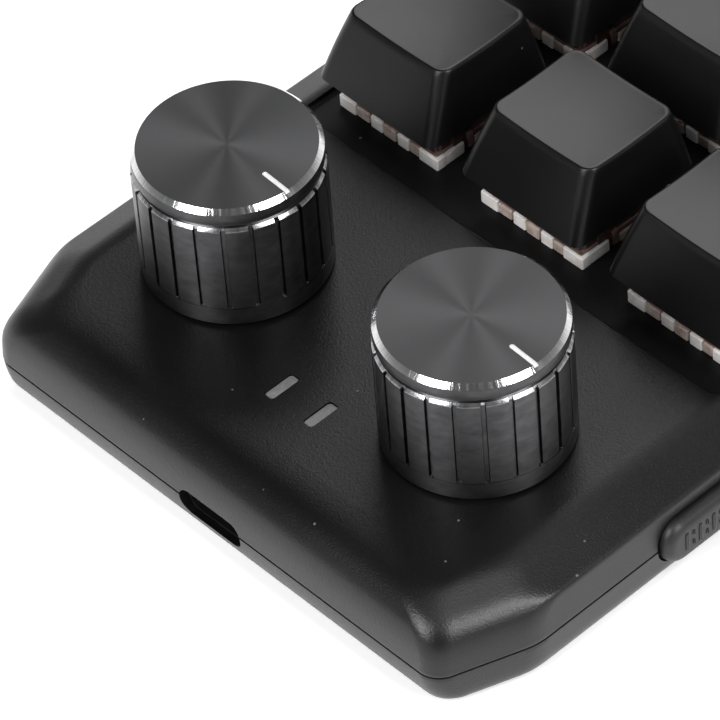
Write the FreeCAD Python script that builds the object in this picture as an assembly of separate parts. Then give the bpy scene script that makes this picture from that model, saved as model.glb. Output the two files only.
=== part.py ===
import FreeCAD, Part
import math
import os

os.makedirs("parts", exist_ok=True)

V = FreeCAD.Vector

# ---------------------------------------------------------------------------
# Driving dimensions, millimetres.
# Layout frame: x = 0 on the case centreline, y = 0 on the knob row,
# z = 0 on the knob deck.  Everything is shifted at export so that the origin
# is the bottom centre of the whole object's box, +Z up, +Y towards the
# knob end, which also holds the USB inlet.
# ---------------------------------------------------------------------------
half_width = 37.9            # case half width at the parting line
y_knob_end = 23.54           # knob end at the parting line
y_far_end = -113.9           # far end at the parting line
z_crease = -2.61             # foot of the bevel round the top
z_part = -7.43               # parting line between the shells
z_bottom = -11.84            # underside of the lower shell
foot_proud = 1.0             # rubber feet below the underside
foot_r = 5.0

slider_proud = 1.4           # how far the side slider stands out

knob_x = (20.0, -16.9)       # left and right knob axes
knob_y = 0.0

key_pitch = 22.25
key_cols = (key_pitch, 0.0, -key_pitch)
key_row0 = -31.8
key_rows = tuple(key_row0 - key_pitch * i for i in range(4))
key_travel = 3.8

well_half_x = 32.0           # sunk key field
well_y0 = -20.2
well_y1 = -108.4
z_well = -0.92
z_roof = -2.42               # underside of the deck and of the key field
cutout = 14.0                # switch cut-out

wall = 2.0
z_floor_in = -10.34          # top of the lower shell's floor

pcb_top = -5.92
pcb_t = 1.6
pcb_bot = pcb_top - pcb_t

X0 = slider_proud / 2.0
Y0 = -(y_knob_end + y_far_end) / 2.0
Z0 = -z_bottom + foot_proud

written = []


def export(name, shape):
    s = shape.copy()
    s.translate(V(X0, Y0, Z0))
    s.exportStep("parts/%s.step" % name)
    sol = s.Solids
    written.append((name, len(sol), s.Volume, s.isValid()))


def group(shapes):
    return Part.makeCompound(shapes)


def at(shape, x, y, z=0.0):
    s = shape.copy()
    s.translate(V(x, y, z))
    return s


def box(x0, x1, y0, y1, z0, z1):
    return Part.makeBox(x1 - x0, y1 - y0, z1 - z0, V(x0, y0, z0))


def cyl(r, z0, z1, x=0.0, y=0.0):
    return Part.makeCylinder(r, z1 - z0, V(x, y, z0), V(0, 0, 1))


def rounded_poly(verts, z):
    """Closed wire of lines and tangent arcs; verts are (x, y, radius)."""
    n = len(verts)
    pts = []
    for i in range(n):
        x, y, r = verts[i]
        p = V(x, y, z)
        a = V(verts[i - 1][0], verts[i - 1][1], z)
        b = V(verts[(i + 1) % n][0], verts[(i + 1) % n][1], z)
        da = (a - p)
        db = (b - p)
        da.normalize()
        db.normalize()
        ang = da.getAngle(db)
        t = r / math.tan(ang / 2.0)
        p1 = p + da * t
        p2 = p + db * t
        bis = (da + db)
        bis.normalize()
        mid = p + bis * (r / math.sin(ang / 2.0) - r)
        pts.append((p1, mid, p2))
    edges = []
    for i in range(n):
        p1, mid, p2 = pts[i]
        edges.append(Part.Arc(p1, mid, p2).toShape())
        q1 = pts[(i + 1) % n][0]
        edges.append(Part.LineSegment(p2, q1).toShape())
    return Part.Wire(edges)


def case_outline(z, hw, yk, yf, v1y, v2x, r1, r2):
    """Plan of the case: a rectangle whose four corners are cut off."""
    far_v1 = yf + (yk - v1y)
    verts = [(hw, v1y, r1), (v2x, yk, r2), (-v2x, yk, r2), (-hw, v1y, r1),
             (-hw, far_v1, r1), (-v2x, yf, r2), (v2x, yf, r2), (hw, far_v1, r1)]
    return rounded_poly(verts, z)


def loft(wires):
    return Part.makeLoft(wires, True, True)


def rrect(x0, x1, y0, y1, r, z):
    return rounded_poly([(x1, y0, r), (x1, y1, r), (x0, y1, r), (x0, y0, r)], z)


# ---------------------------------------------------------------------------
# Case shells
# ---------------------------------------------------------------------------
# (z, half width, knob end, far end, chamfer start y, chamfer end x, radii)
upper_levels = [
    (0.0, 32.2, 17.9, -108.9, 10.6, 29.4, 8.0, 4.0),
    (-0.35, 32.92, 20.0, -109.9, 11.0, 30.2, 8.0, 4.0),
    (-1.1, 34.48, 21.7, -111.3, 11.5, 31.5, 8.0, 3.8),
    (-2.61, 37.6, 22.9, -113.6, 12.1, 33.3, 9.0, 3.4),
    (-4.6, 37.73, 23.35, -113.75, 12.4, 33.7, 9.0, 3.2),
    (z_part, half_width, y_knob_end, y_far_end, 12.5, 33.85, 9.0, 3.0),
]
upper_outer = loft([case_outline(*l) for l in upper_levels])
upper_inner_levels = [
    (z_roof, 31.9, 19.0, -108.2, 10.6, 29.4, 6.0, 3.0),
    (-4.4, 35.6, 21.0, -111.6, 12.0, 32.0, 6.0, 2.5),
    (z_part, 35.9, 21.45, -111.9, 12.2, 32.3, 6.0, 2.5),
]
upper_shell = upper_outer.cut(loft([case_outline(*l) for l in upper_inner_levels]))
# sunk key field
well = loft([rrect(-well_half_x, well_half_x, well_y1, well_y0, 1.5, z_well),
             rrect(-well_half_x, well_half_x, well_y1, well_y0 + 0.5, 1.5, 0.01)])
upper_shell = upper_shell.cut(well)
# switch cut-outs
cuts = [box(c - cutout / 2, c + cutout / 2, r - cutout / 2, r + cutout / 2, z_roof - 1, 1.0)
        for c in key_cols for r in key_rows]
# encoder openings under the knobs
enc_bx, enc_by = 12.0, 13.2
cuts += [box(kx - enc_bx / 2 - 0.5, kx + enc_bx / 2 + 0.5, knob_y - enc_by / 2 - 0.5,
             knob_y + enc_by / 2 + 0.5, z_roof - 1, 1.0) for kx in knob_x]
# indicator light slots
slot_w, slot_l, slot_y = 1.4, 4.1, 9.93
slot_x = (2.57, -3.37)
for sx in slot_x:
    cuts.append(loft([rrect(sx - slot_w / 2, sx + slot_w / 2, slot_y - slot_l / 2, slot_y + slot_l / 2, 0.35, z_roof - 1),
                      rrect(sx - slot_w / 2, sx + slot_w / 2, slot_y - slot_l / 2, slot_y + slot_l / 2, 0.35, 1.0)]))
upper_shell = upper_shell.cut(group(cuts))

lower_levels = [
    (z_part, half_width, y_knob_end, y_far_end, 12.5, 33.85, 9.0, 3.0),
    (-11.0, 37.72, 22.75, -113.7, 11.2, 34.1, 9.0, 3.3),
    (z_bottom, 37.1, 22.1, -113.1, 10.9, 33.7, 9.0, 3.2),
]
lower_outer = loft([case_outline(*l) for l in lower_levels])
lower_inner_levels = [
    (z_part + 1.0, 36.05, 21.6, -112.05, 12.25, 32.4, 6.0, 2.5),
    (z_floor_in, 35.5, 20.5, -111.5, 11.6, 31.8, 6.0, 2.5),
]
lower_shell = lower_outer.cut(loft([case_outline(*l) for l in lower_inner_levels]))

# screw columns: the board is held between the bosses of the two shells
screw_xy = [(28.8, 16.2), (-28.8, 16.2), (33.2, -42.92), (-33.2, -42.92),
            (30.5, -108.6), (-30.5, -108.6)]
boss_r = 2.3
hole_r = 1.15
head_r = 2.2
upper_bosses = []
lower_bosses = []
upper_holes = []
lower_holes = []
for sx, sy in screw_xy:
    upper_bosses.append(cyl(boss_r, pcb_top, z_roof + 0.6, sx, sy))
    upper_holes.append(cyl(hole_r, pcb_top - 0.5, z_roof - 0.6, sx, sy))
    lower_bosses.append(cyl(2.75, z_floor_in - 0.5, pcb_bot, sx, sy))
    lower_holes.append(cyl(1.3, z_bottom - 1, pcb_bot + 0.5, sx, sy))
    lower_holes.append(cyl(head_r, z_bottom - 1, -9.5, sx, sy))
upper_shell = upper_shell.fuse(upper_bosses).cut(group(upper_holes))
lower_shell = lower_shell.fuse(lower_bosses).cut(group(lower_holes))

# recesses for the feet
foot_xy = [(28.0, 6.0), (-28.0, 6.0), (28.0, -98.0), (-28.0, -98.0)]
foot_seat = 0.5
lower_shell = lower_shell.cut(group([cyl(foot_r + 0.1, z_bottom - 1, z_bottom + foot_seat, x, y)
                                     for x, y in foot_xy]))

# USB inlet, a stadium slot across the parting line
usb_z = -7.95


def stadium_y(hx, hz, r, y0, y1, zc):
    """Prism along y with a rounded rectangular section."""
    w = rounded_poly([(hx, -hz, r), (hx, hz, r), (-hx, hz, r), (-hx, -hz, r)], 0)
    f = Part.Face(w)
    s = f.extrude(V(0, 0, y1 - y0))
    s.rotate(V(0, 0, 0), V(1, 0, 0), 90)     # local z becomes -y
    s.translate(V(0, y1, zc))
    return s


usb_cut = stadium_y(4.7, 1.78, 1.6, 17.0, 26.0, usb_z)
upper_shell = upper_shell.cut(usb_cut)
lower_shell = lower_shell.cut(usb_cut)

# pocket for the side slider, across the parting line on the -x side
sl_z = -7.25
sl_h = 6.2
sl_y0, sl_y1 = -20.8, -5.0
pocket_x = -36.5


def stadium_x(y0, y1, z0, z1, r, x0, x1):
    """Prism along x with a rounded rectangular section."""
    w = rounded_poly([(y1, z0, r), (y1, z1, r), (y0, z1, r), (y0, z0, r)], 0)
    f = Part.Face(w)
    s = f.extrude(V(0, 0, x1 - x0))
    s.rotate(V(0, 0, 0), V(1, 1, 1), 120)    # local x, y, z become y, z, x
    s.translate(V(x0, 0, 0))
    return s


pocket = stadium_x(sl_y0, sl_y1, sl_z - sl_h / 2, sl_z + sl_h / 2, 2.9, -41.0, pocket_x)
leg_slot = box(-37.5, -35.0, -14.5, -9.3, -9.75, -7.85)
upper_shell = upper_shell.cut(pocket)
lower_shell = lower_shell.cut(pocket).cut(leg_slot)

export("upper_shell", upper_shell.removeSplitter())
export("lower_shell", lower_shell.removeSplitter())

export("rubber_feet", group([cyl(foot_r, z_bottom - foot_proud, z_bottom + foot_seat, x, y)
                             for x, y in foot_xy]))

# case screws: pan head in the underside recess, shank up into the upper boss
screw = cyl(1.9, -11.0, -9.5).fuse(cyl(1.1, -9.5, -3.4))
screw = screw.cut(box(-1.3, 1.3, -0.22, 0.22, -11.1, -10.4)).cut(box(-0.22, 0.22, -1.3, 1.3, -11.1, -10.4))
export("case_screws", group([at(screw, x, y) for x, y in screw_xy]))

# ---------------------------------------------------------------------------
# Circuit board and what is soldered to it
# ---------------------------------------------------------------------------
pcb = loft([case_outline(pcb_bot, 35.2, 20.3, -111.2, 11.4, 31.6, 5.0, 2.0),
            case_outline(pcb_top, 35.2, 20.3, -111.2, 11.4, 31.6, 5.0, 2.0)])
led_dy = 4.7
pcb_cuts = []
for c in key_cols:
    for r in key_rows:
        pcb_cuts.append(cyl(2.05, pcb_bot - 1, pcb_top + 1, c, r))
        pcb_cuts.append(cyl(0.75, pcb_bot - 1, pcb_top + 1, c - 3.81, r - 2.54))
        pcb_cuts.append(cyl(0.75, pcb_bot - 1, pcb_top + 1, c + 2.54, r - 5.08))
        pcb_cuts.append(box(c - 1.5, c + 1.5, r + led_dy - 0.8, r + led_dy + 0.8, pcb_bot - 1, pcb_top + 1))
for sx, sy in screw_xy:
    pcb_cuts.append(cyl(1.35, pcb_bot - 1, pcb_top + 1, sx, sy))
pcb_cuts.append(box(-4.75, 4.75, 14.8, 22.0, pcb_bot - 1, pcb_top + 1))
pcb = pcb.cut(group(pcb_cuts))
export("main_board", pcb)

# USB-C receptacle: drawn steel shell and the contact tongue inside it
usb_shell = stadium_y(4.47, 1.63, 1.6, 15.0, 22.4, usb_z).cut(
    stadium_y(4.17, 1.33, 1.3, 15.6, 23.0, usb_z))
usb_tongue = box(-3.35, 3.35, 15.6, 21.4, usb_z - 0.35, usb_z + 0.35)
export("usb_c_receptacle", usb_shell.fuse(usb_tongue).removeSplitter())

# controller, crystal and small parts under the board, knob end
chips = [box(-3.5, 3.5, 3.0, 10.0, pcb_bot - 1.2, pcb_bot),
         box(7.0, 10.2, 4.5, 7.0, pcb_bot - 0.9, pcb_bot),
         box(-9.6, -8.0, 5.0, 8.0, pcb_bot - 0.7, pcb_bot),
         box(12.0, 16.4, 9.5, 12.0, pcb_bot - 1.4, pcb_bot)]
for i in range(6):
    chips.append(box(-8.0 + i * 2.4, -7.0 + i * 2.4, -3.6, -2.0, pcb_bot - 0.5, pcb_bot))
export("board_chips", group(chips))

# key LEDs under the board, shining up through its slots, and two indicators
leds = []
for c in key_cols:
    for r in key_rows:
        leds.append(box(c - 1.7, c + 1.7, r + led_dy - 1.4, r + led_dy + 1.4, pcb_bot - 0.9, pcb_bot))
for sx in slot_x:
    leds.append(box(sx - 0.4, sx + 0.4, slot_y - 0.8, slot_y + 0.8, pcb_top, pcb_top + 0.6))
export("board_leds", group(leds))

# indicator light pipes: window in the deck slot, collar under the deck
pipes = []
for sx in slot_x:
    g = 0.04
    p = loft([rrect(sx - slot_w / 2 + g, sx + slot_w / 2 - g, slot_y - slot_l / 2 + g, slot_y + slot_l / 2 - g, 0.33, z_roof),
              rrect(sx - slot_w / 2 + g, sx + slot_w / 2 - g, slot_y - slot_l / 2 + g, slot_y + slot_l / 2 - g, 0.33, -0.2)])
    p = p.fuse([box(sx - 1.1, sx + 1.1, slot_y - 2.5, slot_y + 2.5, z_roof - 0.7, z_roof),
                box(sx - 0.5, sx + 0.5, slot_y - 1.2, slot_y + 1.2, pcb_top + 0.8, z_roof - 0.7)])
    pipes.append(p.removeSplitter())
export("indicator_light_pipes", group(pipes))

# ---------------------------------------------------------------------------
# Key switches
# ---------------------------------------------------------------------------
z_fl_top = z_well + 1.6       # top of the lower housing's flange
z_sw_top = z_well + 6.6       # top of the upper housing
fl_hx, fl_hy = 7.8, 7.35

lower_h = box(-6.95, 6.95, -6.95, 6.95, pcb_top, z_well + 0.2)
lower_h = lower_h.fuse(loft([rrect(-fl_hx, fl_hx, -fl_hy, fl_hy, 0.8, z_well),
                             rrect(-fl_hx, fl_hx, -fl_hy, fl_hy, 0.8, z_fl_top)]))
lower_h = lower_h.fuse(cyl(1.95, -9.2, pcb_top + 0.2))
lower_h = lower_h.cut(box(-6.0, 6.0, -6.0, 6.0, pcb_top + 0.85, z_fl_top + 1))
lower_h = lower_h.fuse(cyl(1.55, pcb_top + 0.5, -2.4))
lower_h = lower_h.cut(cyl(1.32, -8.8, 0.0))
lower_h = lower_h.removeSplitter()

upper_h = loft([rrect(-7.3, 7.3, -6.9, 6.9, 0.9, z_fl_top), rrect(-5.6, 5.6, -4.5, 4.5, 0.9, z_sw_top)])
upper_h = upper_h.cut(loft([rrect(-6.3, 6.3, -5.9, 5.9, 0.4, z_fl_top - 0.01), rrect(-5.0, 5.0, -3.9, 3.9, 0.4, z_sw_top - 0.8)]))
upper_h = upper_h.cut(box(-3.75, 3.75, -3.05, 3.05, z_sw_top - 2, z_sw_top + 1))

pin_a = cyl(0.5, pcb_bot - 1.2, pcb_top - 0.02, -3.81, -2.54)
pin_b = cyl(0.5, pcb_bot - 1.2, pcb_top - 0.02, 2.54, -5.08)

z_stem_stop = z_sw_top - 0.88
stem = box(-4.6, 4.6, -2.6, 2.6, z_stem_stop - 1.6, z_stem_stop)
stem = stem.fuse([box(-3.5, 3.5, -2.75, 2.75, z_stem_stop - 0.1, z_sw_top - 0.06),
                  box(-2.0, 2.0, -0.6, 0.6, z_sw_top - 0.1, z_sw_top + 3.6),
                  box(-0.6, 0.6, -2.0, 2.0, z_sw_top - 0.1, z_sw_top + 3.6),
                  cyl(1.22, -4.4, z_stem_stop - 1.5)])
stem = stem.removeSplitter()

# return spring: six turns round the stem's pole
sp_wire = 0.15
sp_r = 1.95
sp_z0 = pcb_top + 0.85 + sp_wire + 0.02
sp_z1 = z_stem_stop - 1.6 - sp_wire - 0.02
helix = Part.makeHelix((sp_z1 - sp_z0) / 6.0, sp_z1 - sp_z0, sp_r)
helix.translate(V(0, 0, sp_z0))
hexa = [V(sp_r + sp_wire * math.cos(t * math.pi / 3), 0, sp_z0 + sp_wire * math.sin(t * math.pi / 3))
        for t in range(6)]
sec = Part.makePolygon(hexa + [hexa[0]])
spring = Part.Wire(helix.Edges).makePipeShell([sec], True, True)

# keycap: square skirt, sloping front, dished top, hollow, cross socket
cap_z0, cap_z1 = 4.08, 12.15
cap = loft([rrect(-9.05, 9.05, -9.05, 9.35, 1.3, cap_z0), rrect(-7.56, 7.56, -7.55, 5.5, 1.5, cap_z1)])
cap_roof = 10.35
cap = cap.cut(loft([rrect(-8.05, 8.05, -8.05, 8.35, 0.7, cap_z0 - 0.01), rrect(-6.75, 6.75, -6.8, 5.2, 1.0, cap_roof)]))
dish = Part.makeCylinder(78.0, 40, V(0, -20, cap_z1 + 78.0 - 0.42), V(0, 1, 0))
cap = cap.cut(dish)
cap = cap.fuse(cyl(2.75, 6.3, cap_roof + 0.3))
cap = cap.cut(box(-2.05, 2.05, -0.65, 0.65, 6.0, 9.45)).cut(box(-0.65, 0.65, -2.05, 2.05, 6.0, 9.45))
cap = cap.removeSplitter()

lowers, uppers, pins = [], [], []
for ri, r in enumerate(key_rows):
    for ci, c in enumerate(key_cols):
        tag = "r%dc%d" % (ri + 1, ci + 1)
        lowers.append(at(lower_h, c, r))
        uppers.append(at(upper_h, c, r))
        pins.append(at(pin_a, c, r))
        pins.append(at(pin_b, c, r))
        export("keycap_" + tag, at(cap, c, r))
        export("switch_stem_" + tag, at(stem, c, r))
        export("switch_spring_" + tag, at(spring, c, r))
export("switch_lower_housings", group(lowers))
export("switch_upper_housings", group(uppers))
export("switch_pins", group(pins))

# ---------------------------------------------------------------------------
# Rotary encoders and knobs
# ---------------------------------------------------------------------------
enc_top = pcb_top + 6.5
neck_top = enc_top + 5.0
shaft_r = 3.0
base = box(-5.85, 5.85, -6.3, 6.3, pcb_top, enc_top - 0.8)
base = base.cut(cyl(5.1, pcb_top + 0.8, enc_top))
cover = box(-enc_bx / 2, enc_bx / 2, -enc_by / 2, enc_by / 2, enc_top - 0.8, enc_top)
cover = cover.fuse(cyl(3.45, enc_top - 0.1, neck_top)).cut(cyl(shaft_r + 0.05, enc_top - 2, neck_top + 1)).removeSplitter()

shaft_top = 15.2
shaft = cyl(shaft_r, -3.4, shaft_top).fuse(cyl(4.7, enc_top - 2.0, enc_top - 1.1))
shaft = shaft.cut(box(-4.0, -1.5, -4.0, 4.0, 5.9, shaft_top + 1))
shaft = shaft.removeSplitter()
plunger = cyl(2.3, -4.25, -3.43).fuse(cyl(1.2, -4.55, -4.2)).removeSplitter()

# knob: turned aluminium shell with bevel, waist, fluted body and bottom ring
k_bot, k_top = 0.35, 16.93
k_r = 10.5
profile = [(9.2, k_bot), (10.35, k_bot), (k_r, k_bot + 0.15), (k_r, 14.05), (10.1, 14.5), (9.95, 14.55),
           (9.95, 14.95), (10.34, 15.0), (10.34, 16.38), (9.78, k_top), (0.0, k_top), (0.0, 15.6), (9.2, 15.6)]
pw = Part.makePolygon([V(r, 0, z) for r, z in profile] + [V(profile[0][0], 0, profile[0][1])])
n_flute = 22
flute_phase = (0.17, 0.65)       # where the flutes start, in flute pitches
pointer_turn = -3.0              # degrees from -x


def fluted_knob(phase):
    k = Part.Face(pw).revolve(V(0, 0, 0), V(0, 0, 1), 360)
    flutes = []
    for i in range(n_flute):
        b = box(k_r - 0.35, k_r + 1.0, -0.28, 0.28, 2.8, 14.4)
        b.rotate(V(0, 0, 0), V(0, 0, 1), (i + phase) * 360.0 / n_flute)
        flutes.append(b)
    k = k.cut(group(flutes))
    # pointer line milled in the top, close to -x
    line = box(-11.0, -6.0, -0.3, 0.3, k_top - 0.35, k_top + 1)
    line.rotate(V(0, 0, 0), V(0, 0, 1), pointer_turn)
    k = k.cut(line)
    if not isinstance(k, Part.Solid) and len(k.Solids) == 1:
        k = k.Solids[0]
    return k


insert = cyl(9.17, 6.3, 15.55).cut(
    cyl(3.04, 6.0, 15.3).cut(box(-4.0, -1.56, -4.0, 4.0, 5.0, 16.0)))
# lightening pockets in the insert
pk = []
for i in range(6):
    p = cyl(1.7, 6.0, 14.0, 6.2, 0)
    p.rotate(V(0, 0, 0), V(0, 0, 1), 30 + 60 * i)
    pk.append(p)
insert = insert.cut(group(pk))

for side, kx, phase in (("left", knob_x[0], flute_phase[0]), ("right", knob_x[1], flute_phase[1])):
    export("knob_" + side, at(fluted_knob(phase), kx, knob_y))
    export("knob_insert_" + side, at(insert, kx, knob_y))
    export("encoder_shaft_" + side, at(shaft, kx, knob_y))
    export("encoder_plunger_" + side, at(plunger, kx, knob_y))
export("encoder_bases", group([at(base, kx, knob_y) for kx in knob_x]))
export("encoder_covers", group([at(cover, kx, knob_y) for kx in knob_x]))

# ---------------------------------------------------------------------------
# Side slider and its switch
# ---------------------------------------------------------------------------
gap = 0.3
py0, py1 = sl_y1 - gap - 13.2, sl_y1 - gap
pz0, pz1 = sl_z - sl_h / 2 + gap, sl_z + sl_h / 2 - gap
pad_in = -36.75
pad_out = -half_width - slider_proud
pad_face = pad_out + 0.12
pad = stadium_x(py0, py1, pz0, pz1, 2.6, pad_face, pad_in)
rim = [e for e in pad.Edges if e.BoundBox.XMax < pad_face + 1e-6]
pad = pad.makeFillet(1.1, rim)
rib_n = 8
for i in range(rib_n):
    yy = py1 - 2.9 - i * 1.15
    pad = pad.fuse(box(pad_out, -38.7, yy - 0.27, yy + 0.27, pz0 + 1.5, pz1 - 1.5))
leg_y = -10.9
pad = pad.fuse(box(pad_in - 0.2, -33.0, leg_y - 1.2, leg_y + 1.2, -9.5, -8.1))
export("slider_cap", pad.removeSplitter())

sw = box(-34.6, -31.0, -16.2, -7.6, pcb_bot - 2.55, pcb_bot)
sw = sw.cut(box(-35.0, -32.6, -14.4, -9.4, -9.8, -7.8))
export("slide_switch_body", sw)

for n, k, vol, ok in written:
    print("%-26s solids %2d volume %10.2f valid %s" % (n, k, vol, ok))
print("nodes", len(written))
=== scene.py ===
import math

import bmesh
import bpy
import numpy as np
from mathutils import Matrix, Vector
from mathutils.geometry import delaunay_2d_cdt


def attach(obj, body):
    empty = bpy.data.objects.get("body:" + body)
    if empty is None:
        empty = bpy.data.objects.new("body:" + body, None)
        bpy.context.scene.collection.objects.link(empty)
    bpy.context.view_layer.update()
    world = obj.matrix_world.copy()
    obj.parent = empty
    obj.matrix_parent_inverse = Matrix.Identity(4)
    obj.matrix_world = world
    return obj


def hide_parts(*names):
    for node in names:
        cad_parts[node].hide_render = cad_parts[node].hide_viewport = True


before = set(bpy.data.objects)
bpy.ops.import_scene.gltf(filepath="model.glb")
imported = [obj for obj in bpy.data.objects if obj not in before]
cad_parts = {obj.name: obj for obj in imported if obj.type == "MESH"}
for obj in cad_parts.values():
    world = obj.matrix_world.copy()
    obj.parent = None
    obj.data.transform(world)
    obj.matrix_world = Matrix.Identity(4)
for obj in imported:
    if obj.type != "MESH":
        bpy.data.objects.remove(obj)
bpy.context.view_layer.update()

# ---------------------------------------------------------------------------
# Layout frame, millimetres: x = 0 case centreline, y = 0 knob row, z = 0 deck.
# ---------------------------------------------------------------------------
OFF = np.array([0.7, 45.18, 12.84])
KX = {"left": 20.0, "right": -16.9}
COLS = (22.25, 0.0, -22.25)
ROWS = tuple(-31.8 - 22.25 * i for i in range(4))
Z_WELL, Z_ROOF, Z_PART, Z_BOT = -0.92, -2.42, -7.43, -11.84


def to_m(p):
    return (np.asarray(p, float) + OFF) / 1000.0


# ---------------------------------------------------------------------------
# Mesh building
# ---------------------------------------------------------------------------
class Build:
    """Collects vertices and faces in layout millimetres."""

    def __init__(self):
        self.v, self.f, self.m = [], [], []

    def add(self, verts, faces, mat=0):
        b = len(self.v)
        self.v.extend([tuple(map(float, p)) for p in verts])
        self.f.extend([tuple(int(i) + b for i in f) for f in faces])
        self.m.extend([mat] * len(faces))

    def rings(self, loops, mat=0, flip=False, cap0=False, cap1=False):
        """Quads between successive closed loops of equal length."""
        n = len(loops[0])
        v = [p for loop in loops for p in loop]
        f = []
        for k in range(len(loops) - 1):
            a, b = k * n, (k + 1) * n
            for i in range(n):
                j = (i + 1) % n
                q = (a + i, a + j, b + j, b + i)
                f.append(q[::-1] if flip else q)
        if cap0:
            q = tuple(range(n - 1, -1, -1))
            f.append(q[::-1] if flip else q)
        if cap1:
            q = tuple(range((len(loops) - 1) * n, len(loops) * n))
            f.append(q[::-1] if flip else q)
        self.add(v, f, mat)

    def plane(self, outer, holes, z, up=True, mat=0):
        """Flat region between an outer loop and its holes."""
        loops = [np.asarray(outer)[:, :2]] + [np.asarray(h)[:, :2] for h in holes]
        pts, edges, base = [], [], 0
        for lp in loops:
            n = len(lp)
            pts += [Vector((float(p[0]), float(p[1]))) for p in lp]
            edges += [(base + i, base + (i + 1) % n) for i in range(n)]
            base += n
        vs, _, fs, *_ = delaunay_2d_cdt(pts, edges, [], 0, 1e-6)
        tri = np.array([[i for i in f] for f in fs])
        P = np.array([(p[0], p[1]) for p in vs])
        c = P[tri].mean(axis=1)
        keep = inside(c, loops[0])
        for h in loops[1:]:
            keep &= ~inside(c, h)
        tri = tri[keep]
        a = P[tri]
        area = ((a[:, 1, 0] - a[:, 0, 0]) * (a[:, 2, 1] - a[:, 0, 1])
                - (a[:, 1, 1] - a[:, 0, 1]) * (a[:, 2, 0] - a[:, 0, 0]))
        tri = tri[np.abs(area) > 1e-9]
        area = area[np.abs(area) > 1e-9]
        want = area > 0 if up else area < 0
        faces = [tuple(t) if w else tuple(t[::-1]) for t, w in zip(tri, want)]
        self.add([(p[0], p[1], z) for p in P], faces, mat)

    def obj(self, name, mats, weld=1e-3, smooth=True, sharp=40.0, recalc=True):
        me = bpy.data.meshes.new(name)
        me.from_pydata([tuple(to_m(p)) for p in self.v], [], self.f)
        for m in mats:
            me.materials.append(m)
        me.polygons.foreach_set("material_index", self.m)
        bm = bmesh.new()
        bm.from_mesh(me)
        bmesh.ops.remove_doubles(bm, verts=bm.verts, dist=weld / 1000.0)
        if recalc:
            bmesh.ops.recalc_face_normals(bm, faces=bm.faces)
        bm.to_mesh(me)
        bm.free()
        o = bpy.data.objects.new(name, me)
        bpy.context.scene.collection.objects.link(o)
        if smooth:
            shade(me, sharp)
        return o


def shade(me, sharp=40.0):
    me.polygons.foreach_set("use_smooth", [True] * len(me.polygons))
    me.set_sharp_from_angle(angle=math.radians(sharp))
    me.update()


def weighted(o):
    m = o.modifiers.new("normals", "WEIGHTED_NORMAL")
    m.mode = "FACE_AREA"
    m.weight = 50
    m.keep_sharp = True
    return o


def inside(c, loop):
    x, y = c[:, 0], c[:, 1]
    r = np.zeros(len(c), bool)
    n = len(loop)
    j = n - 1
    for i in range(n):
        xi, yi = loop[i][0], loop[i][1]
        xj, yj = loop[j][0], loop[j][1]
        with np.errstate(divide="ignore", invalid="ignore"):
            t = ((yi > y) != (yj > y)) & (x < (xj - xi) * (y - yi) / (yj - yi + 1e-300) + xi)
        r ^= t
        j = i
    return r


def round_loop(verts, n_arc=8, n_seg=2, z=0.0):
    """Closed loop through corners (x, y, radius), with arcs and straight runs."""
    n = len(verts)
    corner = []
    for i in range(n):
        x, y, r = verts[i]
        p = np.array([x, y])
        a = np.array(verts[i - 1][:2])
        b = np.array(verts[(i + 1) % n][:2])
        da, db = a - p, b - p
        da, db = da / np.linalg.norm(da), db / np.linalg.norm(db)
        ang = math.acos(max(-1, min(1, da @ db)))
        t = r / math.tan(ang / 2)
        bis = (da + db) / np.linalg.norm(da + db)
        c = p + bis * r / math.sin(ang / 2)
        p1, p2 = p + da * t, p + db * t
        a1 = math.atan2(*(p1 - c)[::-1])
        a2 = math.atan2(*(p2 - c)[::-1])
        d = (a2 - a1 + math.pi) % (2 * math.pi) - math.pi
        corner.append([c + r * np.array([math.cos(a1 + d * k / n_arc), math.sin(a1 + d * k / n_arc)])
                       for k in range(n_arc + 1)])
    out = []
    for i in range(n):
        out += corner[i]
        e, s = corner[i][-1], corner[(i + 1) % n][0]
        out += [e + (s - e) * k / (n_seg + 1) for k in range(1, n_seg + 1)]
    return np.array([[p[0], p[1], z] for p in out])


def rect_loop(x0, x1, y0, y1, r, z=0.0, n_arc=6, n_seg=2):
    return round_loop([(x1, y0, r), (x1, y1, r), (x0, y1, r), (x0, y0, r)], n_arc, n_seg, z)


def circle_loop(cx, cy, r, z, n=48):
    t = np.arange(n) * 2 * math.pi / n
    return np.stack([cx + r * np.cos(t), cy + r * np.sin(t), np.full(n, z)], 1)


def fillet_profile(points, n=7):
    """Polyline through (u, v, radius) with its inner points rounded."""
    out = [np.array(points[0][:2], float)]
    for i in range(1, len(points) - 1):
        p = np.array(points[i][:2], float)
        a = np.array(points[i - 1][:2], float)
        b = np.array(points[i + 1][:2], float)
        r = points[i][2]
        da, db = a - p, b - p
        da, db = da / np.linalg.norm(da), db / np.linalg.norm(db)
        ang = math.acos(max(-1, min(1, da @ db)))
        t = r / math.tan(ang / 2)
        bis = (da + db) / np.linalg.norm(da + db)
        c = p + bis * r / math.sin(ang / 2)
        p1, p2 = p + da * t, p + db * t
        a1, a2 = math.atan2(*(p1 - c)[::-1]), math.atan2(*(p2 - c)[::-1])
        d = (a2 - a1 + math.pi) % (2 * math.pi) - math.pi
        for k in range(n + 1):
            out.append(c + r * np.array([math.cos(a1 + d * k / n), math.sin(a1 + d * k / n)]))
    out.append(np.array(points[-1][:2], float))
    return np.array(out)


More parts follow.
